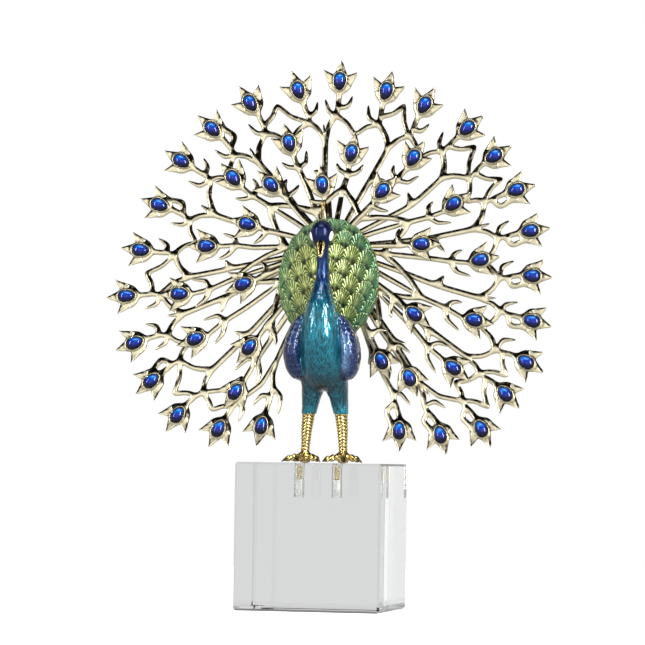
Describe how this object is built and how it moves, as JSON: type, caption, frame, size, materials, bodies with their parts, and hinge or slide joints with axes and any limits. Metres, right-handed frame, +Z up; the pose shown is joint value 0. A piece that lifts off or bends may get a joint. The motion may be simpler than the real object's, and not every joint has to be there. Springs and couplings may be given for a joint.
{
  "type": "peacock figurine",
  "caption": "Enamelled metal peacock with a spread, jewelled openwork tail, standing on a clear crystal cube.",
  "frame": {"origin": "middle of the cube's underside", "axes": "+Z up, +X to the bird's left, +Y to its back; the cube's front face looks along -Y"},
  "size_m": [0.3115, 0.1, 0.3767],
  "materials": {
    "optical_crystal": "polished, clear",
    "blue_green_enamel": "glossy translucent enamel over cast metal",
    "green_enamel": "glossy translucent enamel over cast metal",
    "pale_gold_plate": "satin pale gold plate",
    "sapphire_glass": "polished, deep blue"
  },
  "bodies": {
    "root": {"crystal_cube": "optical_crystal", "peacock": "blue_green_enamel", "feather_shield": "green_enamel", "inner_tail": "pale_gold_plate", "middle_tail": "pale_gold_plate", "outer_tail": "pale_gold_plate", "inner_stone_01": "sapphire_glass", "inner_stone_02": "sapphire_glass", "inner_stone_03": "sapphire_glass", "inner_stone_04": "sapphire_glass", "inner_stone_05": "sapphire_glass", "inner_stone_06": "sapphire_glass", "inner_stone_07": "sapphire_glass", "inner_stone_08": "sapphire_glass", "inner_stone_09": "sapphire_glass", "middle_stone_01": "sapphire_glass", "middle_stone_02": "sapphire_glass", "middle_stone_03": "sapphire_glass", "middle_stone_04": "sapphire_glass", "middle_stone_05": "sapphire_glass", "middle_stone_06": "sapphire_glass", "middle_stone_07": "sapphire_glass", "middle_stone_08": "sapphire_glass", "middle_stone_09": "sapphire_glass", "middle_stone_10": "sapphire_glass", "middle_stone_11": "sapphire_glass", "middle_stone_12": "sapphire_glass", "middle_stone_13": "sapphire_glass", "outer_stone_01": "sapphire_glass", "outer_stone_02": "sapphire_glass", "outer_stone_03": "sapphire_glass", "outer_stone_04": "sapphire_glass", "outer_stone_05": "sapphire_glass", "outer_stone_06": "sapphire_glass", "outer_stone_07": "sapphire_glass", "outer_stone_08": "sapphire_glass", "outer_stone_09": "sapphire_glass", "outer_stone_10": "sapphire_glass", "outer_stone_11": "sapphire_glass", "outer_stone_12": "sapphire_glass", "outer_stone_13": "sapphire_glass", "outer_stone_14": "sapphire_glass", "outer_stone_15": "sapphire_glass", "outer_stone_16": "sapphire_glass", "outer_stone_17": "sapphire_glass", "outer_stone_18": "sapphire_glass", "outer_stone_19": "sapphire_glass", "outer_stone_20": "sapphire_glass", "outer_stone_21": "sapphire_glass", "outer_stone_22": "sapphire_glass", "outer_stone_23": "sapphire_glass", "outer_stone_24": "sapphire_glass", "outer_stone_25": "sapphire_glass", "outer_stone_26": "sapphire_glass"}
  },
  "joints": []
}
